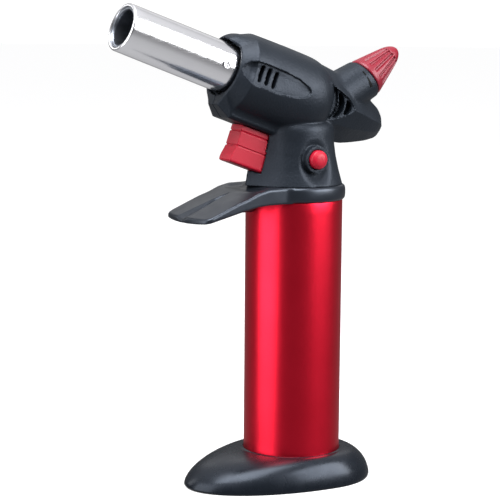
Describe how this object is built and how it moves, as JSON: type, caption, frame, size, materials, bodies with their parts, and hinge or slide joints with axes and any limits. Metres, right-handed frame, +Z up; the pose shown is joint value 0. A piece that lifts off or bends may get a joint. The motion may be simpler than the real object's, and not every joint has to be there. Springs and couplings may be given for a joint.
{
  "type": "butane torch",
  "caption": "Upright hand torch: oval foot, round red tank, finger guard, pistol-shaped head with tilted steel barrel, trigger, lock button and gas knob.",
  "frame": {"origin": "on the foot's flat underside, on the tank's axis", "axes": "+Z up along the tank, -X towards the muzzle, +Y across, with the lock button on the -Y side"},
  "size_m": [0.1418, 0.059, 0.2062],
  "materials": {
    "base_plastic": "satin black moulding",
    "guard_plastic": "glossy black moulding",
    "casing_plastic": "fine-textured satin black moulding",
    "red_anodised": "satin red anodised",
    "tank_aluminium": "plain",
    "polished_steel": "polished",
    "liner_steel": "satin",
    "brass_part": "turned",
    "rubber_black": "matt",
    "lead_rubber": "matt",
    "spring_steel": "bright",
    "screw_steel": "dark zinc",
    "burner_ceramic": "ceramic",
    "wick_fibre": "felt",
    "piezo_plastic": "grey",
    "red_plastic": "satin red moulding"
  },
  "bodies": {
    "housing": {"base": "base_plastic", "tank_sleeve": "red_anodised", "finger_guard": "guard_plastic", "casing_left": "casing_plastic", "casing_right": "casing_plastic", "burner_tube": "polished_steel", "burner_liner": "liner_steel", "flame_holder": "burner_ceramic", "fuel_tank": "tank_aluminium", "tank_cap": "tank_aluminium", "tank_seal": "rubber_black", "refill_valve_body": "brass_part", "refill_valve_seal": "rubber_black", "refill_valve_spring": "spring_steel", "outlet_valve_body": "brass_part", "outlet_valve_seal": "rubber_black", "outlet_valve_spring": "spring_steel", "fuel_wick": "wick_fibre", "lever_pin": "spring_steel", "gas_jet": "brass_part", "igniter_electrode": "spring_steel", "electrode_insulator": "burner_ceramic", "ignition_lead": "lead_rubber", "regulator_body": "brass_part", "regulator_seal": "rubber_black", "gas_hose": "rubber_black", "jet_feed_pipe": "brass_part", "piezo_body": "piezo_plastic", "trigger_spring": "spring_steel", "lock_button_spring": "spring_steel", "casing_screws": "screw_steel", "barrel_screws": "screw_steel", "burner_mount": "tank_aluminium"},
    "gas_knob_body": {"gas_knob": "red_plastic", "needle_spindle": "brass_part"},
    "trigger_body": {"trigger": "red_plastic", "piezo_plunger": "piezo_plastic"},
    "valve_lever_body": {"valve_lever": "spring_steel"},
    "outlet_stem_body": {"outlet_valve_stem": "brass_part"},
    "refill_stem_body": {"refill_valve_stem": "brass_part"},
    "lock_button_body": {"lock_button": "red_plastic"}
  },
  "joints": [
    {"name": "trigger_slide", "type": "slide", "parent": "housing", "child": "trigger_body", "axis": [0.9421, 0, -0.3355], "range_m": [0, 0.0055], "stiffness_N_per_m": 900, "springref_m": -0.003, "deforming": ["trigger_spring"]},
    {"name": "valve_lever_pivot", "type": "hinge", "parent": "housing", "child": "valve_lever_body", "pos_m": [0.0085, 0, 0.13485], "axis": [0, 1, 0], "range_deg": [0, 7.6]},
    {"name": "outlet_stem_lift", "type": "slide", "parent": "housing", "child": "outlet_stem_body", "axis": [0, 0, 1], "range_m": [0, 0.00112], "deforming": ["outlet_valve_spring"]},
    {"name": "gas_knob_turn", "type": "hinge", "parent": "housing", "child": "gas_knob_body", "pos_m": [0.0357, 0, 0.17365], "axis": [0.809, 0, 0.5878], "range_deg": [-120, 120]},
    {"name": "lock_button_press", "type": "slide", "parent": "housing", "child": "lock_button_body", "axis": [0, 1, 0], "range_m": [0, 0.0025], "stiffness_N_per_m": 500, "springref_m": -0.002, "deforming": ["lock_button_spring"]},
    {"name": "refill_stem_press", "type": "slide", "parent": "housing", "child": "refill_stem_body", "axis": [0, 0, 1], "range_m": [0, 0.0015], "stiffness_N_per_m": 600, "springref_m": -0.002, "deforming": ["refill_valve_spring"]}
  ],
  "couplings": [
    {"joint": "valve_lever_pivot", "follows": "trigger_slide", "rad_per_m": 23.529},
    {"joint": "outlet_stem_lift", "follows": "trigger_slide", "ratio": 0.2}
  ]
}
